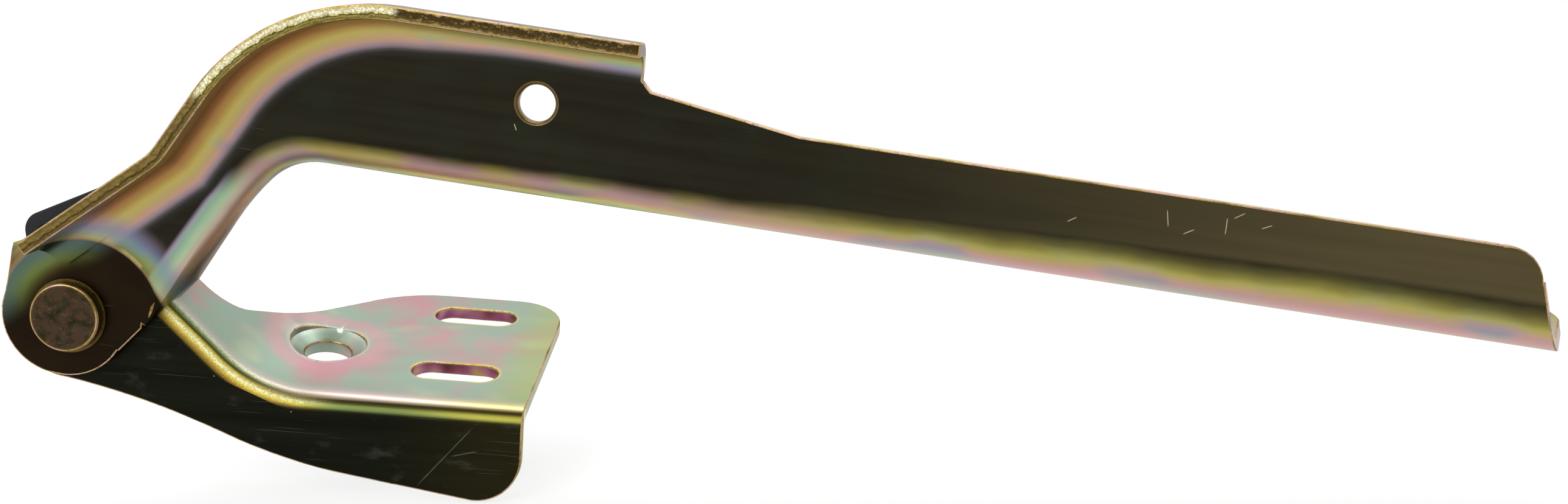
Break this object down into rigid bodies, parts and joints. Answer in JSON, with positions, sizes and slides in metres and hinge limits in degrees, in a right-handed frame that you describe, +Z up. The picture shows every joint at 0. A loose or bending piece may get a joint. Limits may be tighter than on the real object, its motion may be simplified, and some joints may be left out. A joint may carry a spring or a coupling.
{
  "type": "vehicle hood hinge",
  "caption": "Pressed steel hood hinge: a gooseneck arm with a canted hood flange swings on a rivet in a slotted body bracket, between a rest and an open stop.",
  "frame": {"origin": "underside of the bracket's canted plate, midway between its two bolt slots", "axes": "+X from the pivot towards the arm's tip, +Y through the web hole to the back of the pressings, +Z up; closed pose"},
  "size_m": [0.3697, 0.0813, 0.1184],
  "materials": {
    "arm_plating": "yellow zinc plate",
    "bracket_plating": "yellow zinc plate",
    "rivet_steel": "yellow zinc plate",
    "bush_bronze": "plain bronze",
    "washer_steel": "plain",
    "stop_paint": "satin black"
  },
  "bodies": {
    "bracket": {"body_bracket": "bracket_plating", "pivot_rivet": "rivet_steel", "friction_washer": "washer_steel", "open_stop": "stop_paint"},
    "arm": {"hinge_arm": "arm_plating", "pivot_bush": "bush_bronze"}
  },
  "joints": [
    {"name": "hood_pivot", "type": "hinge", "parent": "bracket", "child": "arm", "pos_m": [-0.08418, -0.04193, 0.0183], "axis": [0, -1, 0], "range_deg": [0, 45]}
  ]
}
